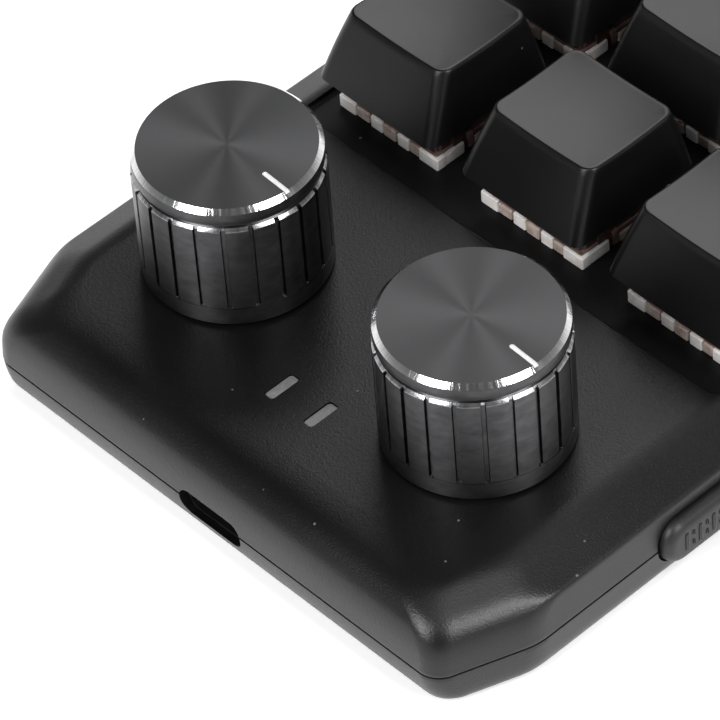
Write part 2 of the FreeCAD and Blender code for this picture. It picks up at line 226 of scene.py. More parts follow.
def spline(pts, n=200):
    """Natural cubic spline through (u, v) points, by chord length."""
    p = np.array(pts, float)
    t = np.concatenate([[0], np.cumsum(np.linalg.norm(np.diff(p, axis=0), axis=1))])
    m = len(p)
    A, B = np.zeros((m, m)), np.zeros((m, 2))
    h = np.diff(t)
    A[0, 0] = A[-1, -1] = 1
    for i in range(1, m - 1):
        A[i, i - 1], A[i, i], A[i, i + 1] = h[i - 1], 2 * (h[i - 1] + h[i]), h[i]
        B[i] = 6 * ((p[i + 1] - p[i]) / h[i] - (p[i] - p[i - 1]) / h[i - 1])
    M = np.linalg.solve(A, B)
    s = np.linspace(0, t[-1], n)
    k = np.clip(np.searchsorted(t, s) - 1, 0, m - 2)
    a, b = (t[k + 1] - s) / h[k], (s - t[k]) / h[k]
    hk = h[k]
    return (a[:, None] * p[k] + b[:, None] * p[k + 1]
            + ((a ** 3 - a) * hk ** 2 / 6)[:, None] * M[k] + ((b ** 3 - b) * hk ** 2 / 6)[:, None] * M[k + 1])


def cut(o, cutter, material=None):
    """Takes cutter out of o, for good."""
    m = o.modifiers.new("cut", "BOOLEAN")
    m.operation, m.solver, m.object = "DIFFERENCE", "EXACT", cutter
    bpy.context.view_layer.update()
    dg = bpy.context.evaluated_depsgraph_get()
    me = bpy.data.meshes.new_from_object(o.evaluated_get(dg))
    o.modifiers.remove(m)
    old = o.data
    o.data = me
    me.name = old.name
    bpy.data.meshes.remove(old)
    bpy.data.objects.remove(cutter)
    return o


def bevel_where(o, test, width, segments=3, angle=35.0):
    """Rounds the sharp edges of o for which test(midpoint in layout mm) holds."""
    bm = bmesh.new()
    bm.from_mesh(o.data)
    bmesh.ops.remove_doubles(bm, verts=bm.verts, dist=2e-6)
    bmesh.ops.dissolve_degenerate(bm, edges=bm.edges, dist=2e-6)
    pick = []
    for e in bm.edges:
        if len(e.link_faces) != 2:
            continue
        try:
            a = e.calc_face_angle()
        except ValueError:
            continue
        if a < math.radians(angle):
            continue
        mid = np.array((e.verts[0].co + e.verts[1].co) / 2) * 1000 - OFF
        if test(mid):
            pick.append(e)
    if pick:
        bmesh.ops.bevel(bm, geom=pick, offset=width / 1000.0, offset_type="OFFSET",
                        segments=segments, profile=0.5, affect="EDGES", clamp_overlap=True)
    bm.to_mesh(o.data)
    bm.free()
    return len(pick)


# ---------------------------------------------------------------------------
# Materials: all procedural
# ---------------------------------------------------------------------------
def socket(node, name, value):
    node.inputs[name].default_value = value


def new_mat(name, base, rough, metallic=0.0, spec=0.5, ior=1.46, aniso=0.0, coat=0.0, coat_rough=0.1,
            trans=0.0, sss=0.0, sss_radius=(0.0005, 0.0004, 0.0003)):
    m = bpy.data.materials.new(name)
    m.use_nodes = True
    nt = m.node_tree
    b = nt.nodes["Principled BSDF"]
    socket(b, "Base Color", (*base, 1))
    socket(b, "Roughness", rough)
    socket(b, "Metallic", metallic)
    socket(b, "Specular IOR Level", spec)
    socket(b, "IOR", ior)
    socket(b, "Anisotropic", aniso)
    socket(b, "Coat Weight", coat)
    socket(b, "Coat Roughness", coat_rough)
    socket(b, "Transmission Weight", trans)
    if sss:
        socket(b, "Subsurface Weight", sss)
        socket(b, "Subsurface Radius", sss_radius)
        socket(b, "Subsurface Scale", 1.0)
    return m, nt, b


def coords(nt, kind="Object"):
    return nt.nodes.new("ShaderNodeTexCoord").outputs[kind]


def noise(nt, vec, scale, detail=2.0, rough=0.5):
    n = nt.nodes.new("ShaderNodeTexNoise")
    socket(n, "Scale", scale)
    socket(n, "Detail", detail)
    socket(n, "Roughness", rough)
    nt.links.new(vec, n.inputs["Vector"])
    return n.outputs["Fac"]


def voronoi(nt, vec, scale, feature="SMOOTH_F1"):
    n = nt.nodes.new("ShaderNodeTexVoronoi")
    n.feature = feature
    socket(n, "Scale", scale)
    nt.links.new(vec, n.inputs["Vector"])
    return n.outputs["Distance"]


def ramp(nt, fac, lo, hi, c0, c1):
    n = nt.nodes.new("ShaderNodeMapRange")
    for k, v in (("From Min", lo), ("From Max", hi), ("To Min", c0), ("To Max", c1)):
        socket(n, k, v)
    nt.links.new(fac, n.inputs["Value"])
    return n.outputs["Result"]


def colour(nt, fac, stops):
    n = nt.nodes.new("ShaderNodeValToRGB")
    e = n.color_ramp.elements
    while len(e) < len(stops):
        e.new(0.5)
    for el, (p, c) in zip(e, stops):
        el.position = p
        el.color = (*c, 1)
    nt.links.new(fac, n.inputs["Fac"])
    return n.outputs["Color"]


def math_node(nt, op, a, b=None, c=None):
    n = nt.nodes.new("ShaderNodeMath")
    n.operation = op
    for i, x in enumerate((a, b, c)):
        if x is None:
            continue
        if isinstance(x, (int, float)):
            n.inputs[i].default_value = x
        else:
            nt.links.new(x, n.inputs[i])
    return n.outputs[0]


def bump(nt, b, height, dist, strength=1.0, prev=None):
    n = nt.nodes.new("ShaderNodeBump")
    socket(n, "Strength", strength)
    socket(n, "Distance", dist)
    nt.links.new(height, n.inputs["Height"])
    if prev is not None:
        nt.links.new(prev, n.inputs["Normal"])
    nt.links.new(n.outputs["Normal"], b.inputs["Normal"])
    return n.outputs["Normal"]


def scaled(nt, vec, s):
    n = nt.nodes.new("ShaderNodeMapping")
    n.inputs["Scale"].default_value = s
    nt.links.new(vec, n.inputs["Vector"])
    return n.outputs["Vector"]


def plastic(name, base, rough, spec, grain, grain_mm=0.24, vary=0.25, coat=0.0, specks=0.0, rough_vary=0.06):
    """Moulded plastic: fine spark-eroded grain, slight tone and gloss changes, a little dust."""
    m, nt, b = new_mat(name, base, rough, spec=spec, ior=1.5, coat=coat, coat_rough=0.25)
    o = coords(nt)
    fine = noise(nt, o, 1000.0 / grain_mm, 2.0, 0.55)
    cells = voronoi(nt, o, 1000.0 / (grain_mm * 1.5))
    h = math_node(nt, "ADD", fine, math_node(nt, "MULTIPLY", cells, 0.3))
    bump(nt, b, h, grain / 1000.0)
    big = noise(nt, o, 45.0, 3.0, 0.5)
    lo = tuple(c * (1 - vary) for c in base)
    hi = tuple(c * (1 + vary) for c in base)
    col = colour(nt, big, [(0.3, lo), (0.7, hi)])
    if specks:
        dust = voronoi(nt, o, 160.0, "F1")
        d = ramp(nt, dust, 0.012, 0.03, specks, 0.0)
        mix = nt.nodes.new("ShaderNodeMix")
        mix.data_type = "RGBA"
        nt.links.new(d, mix.inputs[0])
        nt.links.new(col, mix.inputs[6])
        mix.inputs[7].default_value = (0.35, 0.35, 0.34, 1)
        col = mix.outputs[2]
    nt.links.new(col, b.inputs["Base Color"])
    nt.links.new(ramp(nt, math_node(nt, "ADD", fine, big), 0.6, 1.4, rough - rough_vary, rough + rough_vary),
                 b.inputs["Roughness"])
    return m


M = {}
M["case"] = plastic("case_black_grain", (0.0026, 0.0026, 0.0028), 0.32, 0.37, 0.026, 0.19, 0.2, specks=0.3)
# the sunk field's floor: a darker, duller copy of the case plastic, painted shade
M["well"] = plastic("case_well_painted_shade", (0.0024, 0.0024, 0.0026), 0.45, 0.2, 0.018, 0.19, 0.2, specks=0.2)
# keycap tops take a lighter base colour and the sides a darker one: painted light on the tops, painted shade on the
# sides; gloss and grain differ too
M["cap_top"] = plastic("keycap_top_satin_painted_light", (0.005, 0.005, 0.0053), 0.25, 0.5, 0.0020, 0.16, 0.15, rough_vary=0.02)
M["cap_side"] = plastic("keycap_side_grain_painted_shade", (0.003, 0.003, 0.0034), 0.36, 0.25, 0.008, 0.20, 0.2, specks=0.2)
M["slider"] = plastic("slider_satin", (0.005, 0.005, 0.0052), 0.46, 0.42, 0.020, 0.20, 0.2)
M["rubber"] = plastic("foot_rubber_matt", (0.012, 0.012, 0.012), 0.75, 0.3, 0.012, 0.3)
M["chip"] = plastic("moulded_black", (0.012, 0.012, 0.013), 0.5, 0.45, 0.006, 0.15)


def spin_uv(nt, b):
    """UV of the turned faces; the tangent runs across the lathe marks."""
    uv = nt.nodes.new("ShaderNodeUVMap")
    uv.uv_map = "spin"
    tan = nt.nodes.new("ShaderNodeTangent")
    tan.direction_type = "UV_MAP"
    tan.uv_map = "spin"
    nt.links.new(tan.outputs["Tangent"], b.inputs["Tangent"])
    return uv.outputs["UV"]


def knob_black():
    m, nt, b = new_mat("knob_black_anodised", (0.075, 0.075, 0.077), 0.31, metallic=1.0, aniso=0.86)
    uv = spin_uv(nt, b)
    lines = noise(nt, scaled(nt, uv, (95.0, 9.0, 1.0)), 1.0, 4.0, 0.75)
    broad = noise(nt, scaled(nt, uv, (9.0, 26.0, 1.0)), 1.0, 2.0, 0.6)
    bump(nt, b, lines, 0.000010)
    nt.links.new(ramp(nt, lines, 0.35, 0.65, 0.28, 0.34), b.inputs["Roughness"])
    nt.links.new(colour(nt, broad, [(0.3, (0.056, 0.056, 0.058)), (0.7, (0.090, 0.090, 0.093))]), b.inputs["Base Color"])
    return m


def knob_rim():
    m, nt, b = new_mat("knob_body_rim", (0.42, 0.42, 0.43), 0.22, metallic=1.0)
    uv = nt.nodes.new("ShaderNodeUVMap")
    uv.uv_map = "spin"
    seg = noise(nt, scaled(nt, uv.outputs["UV"], (1.0, 90.0, 1.0)), 1.0, 2.0, 0.7)
    # the colour changes in segments round the axis: painted reflection of the cut facets; the bump is real
    nt.links.new(colour(nt, seg, [(0.35, (0.25, 0.25, 0.255)), (0.65, (0.5, 0.5, 0.51))]), b.inputs["Base Color"])
    bump(nt, b, seg, 0.00001)
    return m


def knob_top():
    m, nt, b = new_mat("knob_top_spun", (0.088, 0.088, 0.09), 0.335, metallic=1.0, aniso=0.89)
    uv = spin_uv(nt, b)
    rings = noise(nt, scaled(nt, uv, (900.0, 3.0, 1.0)), 1.0, 3.0, 0.7)
    bump(nt, b, rings, 0.0000016)
    nt.links.new(colour(nt, rings, [(0.25, (0.075, 0.075, 0.077)), (0.75, (0.092, 0.092, 0.095))]), b.inputs["Base Color"])
    return m


def knob_bright():
    m, nt, b = new_mat("knob_bright_cut", (0.9, 0.9, 0.91), 0.10, metallic=1.0)
    uv = nt.nodes.new("ShaderNodeUVMap")
    uv.uv_map = "spin"
    seg = noise(nt, scaled(nt, uv.outputs["UV"], (1.0, 150.0, 1.0)), 1.0, 2.0, 0.8)
    wide = noise(nt, scaled(nt, uv.outputs["UV"], (1.0, 14.0, 1.0)), 1.0, 1.0, 0.5)
    both = math_node(nt, "ADD", seg, wide)
    # the colour changes in segments round the bevel: painted reflection of the cut facets; the bump and roughness
    # changes are real
    nt.links.new(colour(nt, both, [(0.38, (0.52, 0.52, 0.53)), (0.62, (0.95, 0.95, 0.96))]), b.inputs["Base Color"])
    nt.links.new(ramp(nt, seg, 0.3, 0.7, 0.07, 0.2), b.inputs["Roughness"])
    bump(nt, b, seg, 0.00002)
    return m


M["knob"] = knob_black()
M["knob_top"] = knob_top()
M["knob_bright"] = knob_bright()
M["knob_rim"] = knob_rim()


def metal(name, base, rough, stretch=(600.0, 600.0, 60.0), spread=0.08, bump_d=0.000006):
    m, nt, b = new_mat(name, base, rough, metallic=1.0)
    o = coords(nt)
    s = noise(nt, scaled(nt, o, stretch), 1.0, 4.0, 0.6)
    bump(nt, b, s, bump_d)
    nt.links.new(ramp(nt, s, 0.3, 0.7, rough - spread, rough + spread), b.inputs["Roughness"])
    nt.links.new(colour(nt, s, [(0.3, tuple(c * 0.85 for c in base)), (0.7, base)]), b.inputs["Base Color"])
    return m


M["plated"] = metal("plated_steel", (0.55, 0.54, 0.52), 0.28)
# near-black metal for the USB receptacle: painted shade inside the slot, on a part of plated steel
M["inlet"] = metal("receptacle_painted_shade", (0.035, 0.035, 0.035), 0.5)
M["screw"] = metal("zinc_screw", (0.42, 0.42, 0.43), 0.35, (400.0, 400.0, 400.0))
M["shaft"] = metal("turned_shaft", (0.7, 0.7, 0.7), 0.25, (80.0, 80.0, 4000.0))
M["spring"] = metal("spring_wire", (0.72, 0.66, 0.5), 0.25, (900.0, 900.0, 900.0))


def milky(name, base, dark, rough=0.32, scale=900.0, sss=0.25):
    m, nt, b = new_mat(name, base, rough, spec=0.5, sss=sss, sss_radius=(0.0007, 0.0005, 0.0004))
    o = coords(nt)
    cloud = noise(nt, o, scale, 3.0, 0.6)
    nt.links.new(colour(nt, cloud, [(0.32, dark), (0.6, base)]), b.inputs["Base Color"])
    bump(nt, b, noise(nt, o, 2600.0, 2.0, 0.5), 0.000012)
    return m


M["milk"] = milky("switch_milky_white", (0.78, 0.75, 0.73), (0.60, 0.56, 0.53), 0.3, 700.0)
# beige and brown: darker copies of the milky material, painted shade on the switch rims
M["beige"] = milky("switch_beige_painted_shade", (0.46, 0.39, 0.35), (0.30, 0.23, 0.20), 0.34, 900.0)
M["brown"] = milky("switch_brown_painted_shade", (0.17, 0.105, 0.09), (0.06, 0.034, 0.03), 0.3, 800.0, 0.1)
M["tint"] = milky("switch_tinted", (0.05, 0.026, 0.024), (0.018, 0.011, 0.011), 0.22, 500.0, 0.05)
M["stem"] = milky("switch_stem_red", (0.42, 0.07, 0.05), (0.30, 0.045, 0.035), 0.35, 500.0)
M["pointer"] = milky("pointer_line_fill", (0.66, 0.66, 0.66), (0.58, 0.58, 0.58), 0.4, 3000.0, 0.0)
M["window"] = milky("indicator_window", (0.16, 0.16, 0.163), (0.13, 0.13, 0.133), 0.4, 1500.0, 0.15)
M["led"] = milky("led_body", (0.82, 0.82, 0.76), (0.7, 0.7, 0.6), 0.3, 1200.0)


def board():
    m, nt, b = new_mat("board_mask", (0.008, 0.03, 0.016), 0.32, coat=0.4)
    o = coords(nt)
    tr = noise(nt, scaled(nt, o, (1500.0, 220.0, 10.0)), 1.0, 1.0, 0.3)
    nt.links.new(colour(nt, tr, [(0.5, (0.006, 0.024, 0.013)), (0.53, (0.014, 0.05, 0.026))]), b.inputs["Base Color"])
    bump(nt, b, tr, 0.00002)
    return m


M["board"] = board()

# ---------------------------------------------------------------------------
# Case
# ---------------------------------------------------------------------------
NX, NY = 0.939, 0.344            # normal of the corner chamfers in plan
prof_side = fillet_profile([(27.0, 0.0, 0), (32.25, 0.0, 6.5), (37.6, -2.61, 0.8), (37.9, Z_PART, 0)], 14)
prof_cham = fillet_profile([(29.0, 0.0, 0), (33.95, 0.0, 6.5), (39.62, -2.52, 4.6), (39.89, Z_PART, 0)], 18)
prof_end = spline([(16.2, 0.0), (17.5, -0.035), (18.8, -0.13), (20.0, -0.34), (20.95, -0.70), (21.7, -1.15),
                   (22.35, -1.80), (22.85, -2.61), (23.15, -3.5), (23.36, -4.6), (23.48, -6.0), (23.54, Z_PART)], 400)


def at_z(prof, z):
    p = prof[prof[:, 1].argsort(kind="stable")]
    # the flat run at z = 0 ends where the roll starts
    flat = prof[np.abs(prof[:, 1]) < 1e-9]
    if z >= 0:
        return float(flat[:, 0].max())
    keep = np.ones(len(prof), bool)
    keep[np.where(np.abs(prof[:, 1]) < 1e-9)[0][:-1]] = False
    q = prof[keep]
    q = q[q[:, 1].argsort(kind="stable")]
    return float(np.interp(z, q[:, 1], q[:, 0]))


def case_loop(z, inset=0.0, r1=9.0, r2=3.0, zr=None, extra=(0, 0, 0)):
    """Plan of the case at height zr's profile, placed at height z."""
    zr = z if zr is None else zr
    s = at_z(prof_side, zr) - inset + extra[0]
    c = at_z(prof_cham, zr) - inset + extra[1]
    e = at_z(prof_end, zr) - inset + extra[2]
    f = -90.36 - e
    v1 = (c - NX * s) / NY
    v2 = (c - NY * e) / NX
    g1 = -90.36 - v1
    vs = [(s, v1, r1), (v2, e, r2), (-v2, e, r2), (-s, v1, r1), (-s, g1, r1), (-v2, f, r2), (v2, f, r2), (s, g1, r1)]
    return round_loop(vs, 10, 5, z)


def blend_r(z, top, mid, t=-2.6):
    k = min(1.0, max(0.0, z / t))
    return top + (mid - top) * k


def upper_shell():
    b = Build()
    zs = [0, .003, .01, .025, .05, .08, .12, .17, .23, .31, .41, .53, .68, .86, 1.08, 1.33, 1.6, 1.88, 2.1, 2.26, 2.38,
          2.48, 2.56, 2.64, 2.73, 2.84, 2.98, 3.18, 3.45, 3.85, 4.4, 5.1, 6.0, 6.9]
    loops = [case_loop(-z, 0.0, 9.0, blend_r(-z, 5.0, 3.0, -4.5)) for z in zs]
    loops += [case_loop(-7.22, 0.0, zr=-7.22), case_loop(-7.29, 0.025, zr=-7.3), case_loop(-7.325, 0.09, zr=-7.3),
              case_loop(-7.33, 0.2, zr=-7.3), case_loop(-7.33, 0.55, 8.5, 2.6, zr=-7.3), case_loop(-6.3, 0.6, 8.5, 2.6, zr=-7.3),
              case_loop(-6.3, 1.9, 7.5, 2.2, zr=-7.3), case_loop(-4.6, 2.1, 7.5, 2.2, zr=-6.9), case_loop(-3.4, 3.0, 7, 2.2, zr=-6.0),
              case_loop(Z_ROOF, 4.8, 6.5, 2.2, zr=-6.0)]
    b.rings(loops)
    b.plane(loops[0], [], 0.0, True)
    b.plane(loops[-1], [], Z_ROOF, False)
    o = b.obj("case_upper", [M["case"]], smooth=False)
    # sunk key field
    w = Build()
    prof = [(0.33, 1.0), (0.33, 0.05), (0.30, 0.0), (0.20, -0.05), (0.10, -0.15), (0.04, -0.28), (0.0, -0.45), (-0.04, -0.62),
            (-0.10, -0.76), (-0.20, -0.87), (-0.36, Z_WELL)]
    # knob side: a soft slope; the other three sides: steep, with a small round
    wl = []
    for k, (d, z) in enumerate(prof):
        side = {1.0: 0.02, 0.05: 0.02, 0.0: 0.02, -0.05: 0.02, -0.15: 0.02, -0.28: 0.015, -0.45: 0.01, -0.62: 0.0, -0.76: -0.03,
                -0.87: -0.10, Z_WELL: -0.25}[z]
        hx = 31.95 + side
        wl.append(rect_loop(-hx, hx, -108.4 - side, -20.15 + d * 1.35, 1.6, z, 8, 3))
    w.rings(wl, cap0=True, cap1=True)
    cw = w.obj("cut_well", [M["case"]], smooth=False)
    cut(o, cw)
    # switch cut-outs, encoder openings, light slots
    c = Build()
    for cx in COLS:
        for ry in ROWS:
            c.rings([rect_loop(cx - 7, cx + 7, ry - 7, ry + 7, 0.5, z, 3, 1) for z in (-4.0, 0.6)], cap0=True, cap1=True)
    for kx in KX.values():
        c.rings([rect_loop(kx - 6.5, kx + 6.5, -7.1, 7.1, 0.6, z, 3, 1) for z in (-4.0, 0.6)], cap0=True, cap1=True)
    for sx in (2.57, -3.37):
        c.rings([rect_loop(sx - 0.7, sx + 0.7, 9.93 - 2.05, 9.93 + 2.05, 0.42, z, 5, 1) for z in (-4.0, 0.6)], cap0=True, cap1=True)
    cc = c.obj("cut_holes", [M["case"]], smooth=False)
    cut(o, cc)
    cut(o, side_cutters())
    bevel_where(o, edge_test, 0.14, 3, 32.0)
    me = o.data
    me.materials.clear()
    me.materials.append(M["case"])
    me.materials.append(M["well"])
    cen = np.zeros(len(me.polygons) * 3)
    me.polygons.foreach_get("center", cen)
    cen = cen.reshape(-1, 3) * 1000 - OFF
    # the floor of the sunk field takes the darker copy: painted shade
    floor = (np.abs(cen[:, 2] - Z_WELL) < 0.09) & (np.abs(cen[:, 0]) < 31.9) & (cen[:, 1] < -20.3) & (cen[:, 1] > -108.5)
    me.polygons.foreach_set("material_index", floor.astype(np.int32))
    shade(me, 38.0)
    weighted(o)
    return o


def side_cutters():
    """USB slot and slider pocket."""
    c = Build()
    lp = round_loop([(4.7, -9.73, 1.6), (4.7, -6.17, 1.6), (-4.7, -6.17, 1.6), (-4.7, -9.73, 1.6)], 10, 2)
    c.rings([np.stack([lp[:, 0], np.full(len(lp), y), lp[:, 1]], 1) for y in (19.5, 26.0)], cap0=True, cap1=True)
    lp = round_loop([(-5.0, -10.35, 2.9), (-5.0, -4.15, 2.9), (-20.8, -4.15, 2.9), (-20.8, -10.35, 2.9)], 12, 3)
    c.rings([np.stack([np.full(len(lp), x), lp[:, 0], lp[:, 1]], 1) for x in (-41.0, -36.45)], cap0=True, cap1=True)
    return c.obj("cut_sides", [M["case"]], smooth=False)


def edge_test(p):
    x, y, z = p
    if y > 22.3 and abs(x) < 5.2 and -10.2 < z < -5.7:
        return True                                          # USB slot rim
    if x < -37.3 and -21.4 < y < -4.5 and -10.9 < z < -3.7:
        return True                                          # slider pocket rim
    if z > -0.02 and abs(x) < 5 and 7.5 < y < 12.5:
        return True                                          # light slots
    if abs(z - Z_WELL) < 0.02 and abs(x) < 30.5 and -107 < y < -23:
        return True                                          # switch cut-outs
    if -1.2 < z < 0.02 and (31.6 < abs(x) < 32.4) and -108.7 < y < -19.0 and z > -0.4:
        return True                                          # rim of the sunk field
    return False


def lower_shell():
    b = Build()
    bot_end = spline([(23.54, -7.5), (23.42, -8.6), (23.15, -9.9), (22.75, -11.0), (22.35, -11.55), (21.75, Z_BOT)], 60)
    side_p = fillet_profile([(37.9, -7.5, 0), (37.72, -11.0, 3.0), (37.35, -11.55, 0.7), (36.6, Z_BOT, 0)], 6)
    zs = [-7.5, -8.2, -9.0, -9.8, -10.5, -10.95, -11.2, -11.4, -11.55, -11.68, -11.78, -11.825, Z_BOT]

    def ex(p, z):
        q = p[p[:, 1].argsort(kind="stable")]
        return float(np.interp(z, q[:, 1], q[:, 0]))

    def low(z, inset=0.0, r1=9.0, r2=3.2, zr=None):
        zr = z if zr is None else zr
        ds = ex(side_p, zr) - 37.9
        de = ex(bot_end, zr) - 23.54
        dc = 0.45 * ds + 0.15 * de
        return case_loop(z, inset, r1, r2, zr=Z_PART, extra=(ds, dc, de))

    loops = [low(-6.7, 2.0, 7.5, 2.2, zr=-7.5), low(-6.7, 0.75, 8.3, 2.6, zr=-7.5), low(-7.52, 0.7, 8.3, 2.6, zr=-7.5), low(-7.52, 0.2, zr=-7.5),
             low(-7.525, 0.09, zr=-7.5), low(-7.56, 0.025, zr=-7.5), low(-7.63, 0.0)]
    loops += [low(z) for z in zs[1:]]
    inner = [low(-6.7, 2.0, 7.5, 2.2, zr=-7.5), low(-9.8, 2.1, 7.5, 2.2, zr=-7.5), low(-10.34, 2.6, 7, 2.2, zr=-7.5)]
    b.rings(loops)
    b.rings(inner, flip=True)
    b.plane(inner[-1], [], -10.34, True)
    feet = [(28.0, 6.0), (-28.0, 6.0), (28.0, -98.0), (-28.0, -98.0)]
    screws = [(28.8, 16.2), (-28.8, 16.2), (33.2, -42.92), (-33.2, -42.92), (30.5, -108.6), (-30.5, -108.6)]
    holes = []
    for fx, fy in feet:
        rim = [circle_loop(fx, fy, r, z, 64) for r, z in ((5.28, Z_BOT), (5.17, Z_BOT + 0.04), (5.12, Z_BOT + 0.14), (5.1, Z_BOT + 0.5))]
        b.rings(rim)
        b.plane(rim[-1], [], Z_BOT + 0.5, False)
        holes.append(rim[0])
    for sx, sy in screws:
        rim = [circle_loop(sx, sy, r, z, 40) for r, z in ((2.42, Z_BOT), (2.27, Z_BOT + 0.05), (2.2, Z_BOT + 0.2), (2.2, -10.36), (2.2, -9.6))]
        b.rings(rim)
        b.plane(rim[-1], [], -9.6, False)
        holes.append(rim[0])
    b.plane(loops[-1], holes, Z_BOT, False)
    o = b.obj("case_lower", [M["case"]], smooth=False, weld=2e-3)
    cut(o, side_cutters())
    bevel_where(o, edge_test, 0.14, 3, 32.0)
    shade(o.data, 38.0)
    weighted(o)
    return o


def finish_piece(o, body, nodes=()):
    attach(o, body)
    if nodes:
        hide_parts(*nodes)
    return o


# ---------------------------------------------------------------------------
# Camera at the photograph's viewing angle, worked out before the pieces
# ---------------------------------------------------------------------------
def camera():
    az, el, roll = np.radians([49.8472, 45.8048, -4.8583])
    D = 643.3548 * 0.984
    back = np.array([-math.sin(az) * math.cos(el), math.cos(az) * math.cos(el), math.sin(el)])
    right = np.cross((0, 0, 1), back)
    right /= np.linalg.norm(right)
    up = np.cross(back, right)
    c, s = math.cos(roll), math.sin(roll)
    r2, u2 = c * right + s * up, -s * right + c * up
    C = np.array([(-2.2835 + 1.6) * 0.984, 1.6746 * 0.984, 0.0]) + back * D
    cam = bpy.data.cameras.new("camera")
    cam.sensor_width = 36.0
    cam.sensor_fit = "AUTO"
    cam.lens = 6000.0 * 36.0 / 720.0
    cam.clip_start, cam.clip_end = 0.05, 20.0
    ob = bpy.data.objects.new("camera", cam)
    bpy.context.scene.collection.objects.link(ob)
    m = Matrix.Identity(4)
    loc = to_m(C)
    for i in range(3):
        m[i][0], m[i][1], m[i][2], m[i][3] = r2[i], u2[i], back[i], loc[i]
    ob.matrix_world = m
    bpy.context.scene.camera = ob
    return ob


camera()

finish_piece(upper_shell(), "case", ["upper_shell"])
finish_piece(lower_shell(), "case", ["lower_shell"])


# ---------------------------------------------------------------------------
# Keycaps
# ---------------------------------------------------------------------------
def keycap_mesh():
    b = Build()
    z0, z1 = 4.08, 12.15

    def lp(t, d=0.0, z=None, r=None, bulge=0.0):
        """Skirt outline at share t of the height, moved in by d."""
        hx = 9.05 + (7.56 - 9.05) * t + bulge - d
        yn = 9.35 + (5.5 - 9.35) * t + bulge - d
        yf = -9.05 + (-7.55 + 9.05) * t - bulge + d
        rr = (1.35 + 0.2 * t if r is None else r)
        return rect_loop(-hx, hx, yf, yn, max(rr - d * 0.9, 0.3), (z0 + (z1 - z0) * t if z is None else z), 9, 5)

    dish = lambda x, y: z1 - 0.57 + x * x / 200.0 + (y + 1.0) ** 2 / 150.0
    loops = [lp(0, 1.0, z0 + 0.12), lp(0, 0.86, z0 + 0.03), lp(0, 0.7, z0), lp(0, 0.2, z0), lp(0, 0.08, z0 + 0.03), lp(0.01, 0.0)]
    for t in (0.03, 0.12, 0.25, 0.4, 0.55, 0.7, 0.82, 0.88, 0.93):
        loops.append(lp(t, bulge=0.10 * math.sin(math.pi * t)))
    # top edge round and the dished top
    n = len(loops)
    for t, d in ((0.975, 0.0), (0.988, 0.03), (0.996, 0.10), (1.0, 0.22)):
        L = lp(t, d)
        top = dish(L[:, 0], L[:, 1])
        drop = {0.975: 0.20, 0.988: 0.09, 0.996: 0.025, 1.0: 0.0}[t]
        L[:, 2] = top - drop
        loops.append(L)
    for d in (0.55, 1.2, 2.2, 3.4, 4.6, 5.6, 6.2):
        L = lp(1.0, d)
        L[:, 2] = dish(L[:, 0], L[:, 1])
        loops.append(L)
    k = n + 3
    # sides in material 0 with painted shade, the dished top in material 1 with painted light
    b.rings(loops[:k + 1], 0)
    b.rings(loops[k:], 1)
    b.add(loops[-1], [tuple(range(len(loops[-1])))], 1)
    # inside: walls and roof
    ins = [loops[0], lp(0.02, 1.0, z0 + 0.5, 0.7), lp(0.6, 1.02, 9.0, 0.8), lp(0.74, 1.1, 10.05, 0.9), lp(0.76, 1.6, 10.35, 0.8)]
    b.rings(ins, 0, flip=True)
    b.add(ins[-1], [tuple(range(len(ins[-1])))[::-1]], 0)
    # stem post with its cross socket
    n_c = 48
    outer = [circle_loop(0, 0, r, z, n_c) for r, z in ((2.75, 10.5), (2.75, 6.45), (2.68, 6.34), (2.58, 6.3))]
    b.rings(outer, 0)
    cross = []
    a, w = 2.05, 0.65
    for x, y in ((a, -w), (a, w), (w, w), (w, a), (-w, a), (-w, w), (-a, w), (-a, -w), (-w, -w), (-w, -a), (w, -a), (w, -w)):
        cross.append((x, y, 6.3))
    cross = np.array(cross)
    b.plane(outer[-1], [cross], 6.3, False)
    deep = cross.copy()
    deep[:, 2] = 9.4
    b.rings([cross, deep], 0)
    b.plane(deep, [], 9.4, False)
    return b


cap_build = keycap_mesh()
cap_master = cap_build.obj("cap_master", [M["cap_side"], M["cap_top"]], sharp=50.0)
cap_mesh = cap_master.data
bpy.data.objects.remove(cap_master)


def moved_mesh(src, name, dx, dy, dz=0.0):
    me = src.copy()
    me.name = name
    me.transform(Matrix.Translation((dx / 1000.0, dy / 1000.0, dz / 1000.0)))
    return me


for ri, ry in enumerate(ROWS):
    for ci, cx in enumerate(COLS):
        tag = "r%dc%d" % (ri + 1, ci + 1)
        o = bpy.data.objects.new("cap_" + tag, moved_mesh(cap_mesh, "cap_" + tag, cx, ry))
        bpy.context.scene.collection.objects.link(o)
        weighted(o)
        finish_piece(o, "key_" + tag, ["keycap_" + tag])


# ---------------------------------------------------------------------------
# Switches
# ---------------------------------------------------------------------------
def soft_block(b, x0, x1, y0, y1, z0, z1, r=0.12, mat=0, taper=0.0, rv=0.25):
    """Block with rounded vertical and top edges."""
    lo = [rect_loop(x0, x1, y0, y1, rv, z0, 3, 1), rect_loop(x0, x1, y0, y1, rv, z1 - r, 3, 1)]
    for k in (0.3, 0.65, 1.0):
        d = r * (1 - math.cos(k * math.pi / 2)) + taper * k
        lo.append(rect_loop(x0 + d, x1 - d, y0 + d, y1 - d, max(rv - d * 0.5, 0.05), z1 - r + r * math.sin(k * math.pi / 2), 3, 1))
    b.rings(lo, mat, cap0=True, cap1=True)


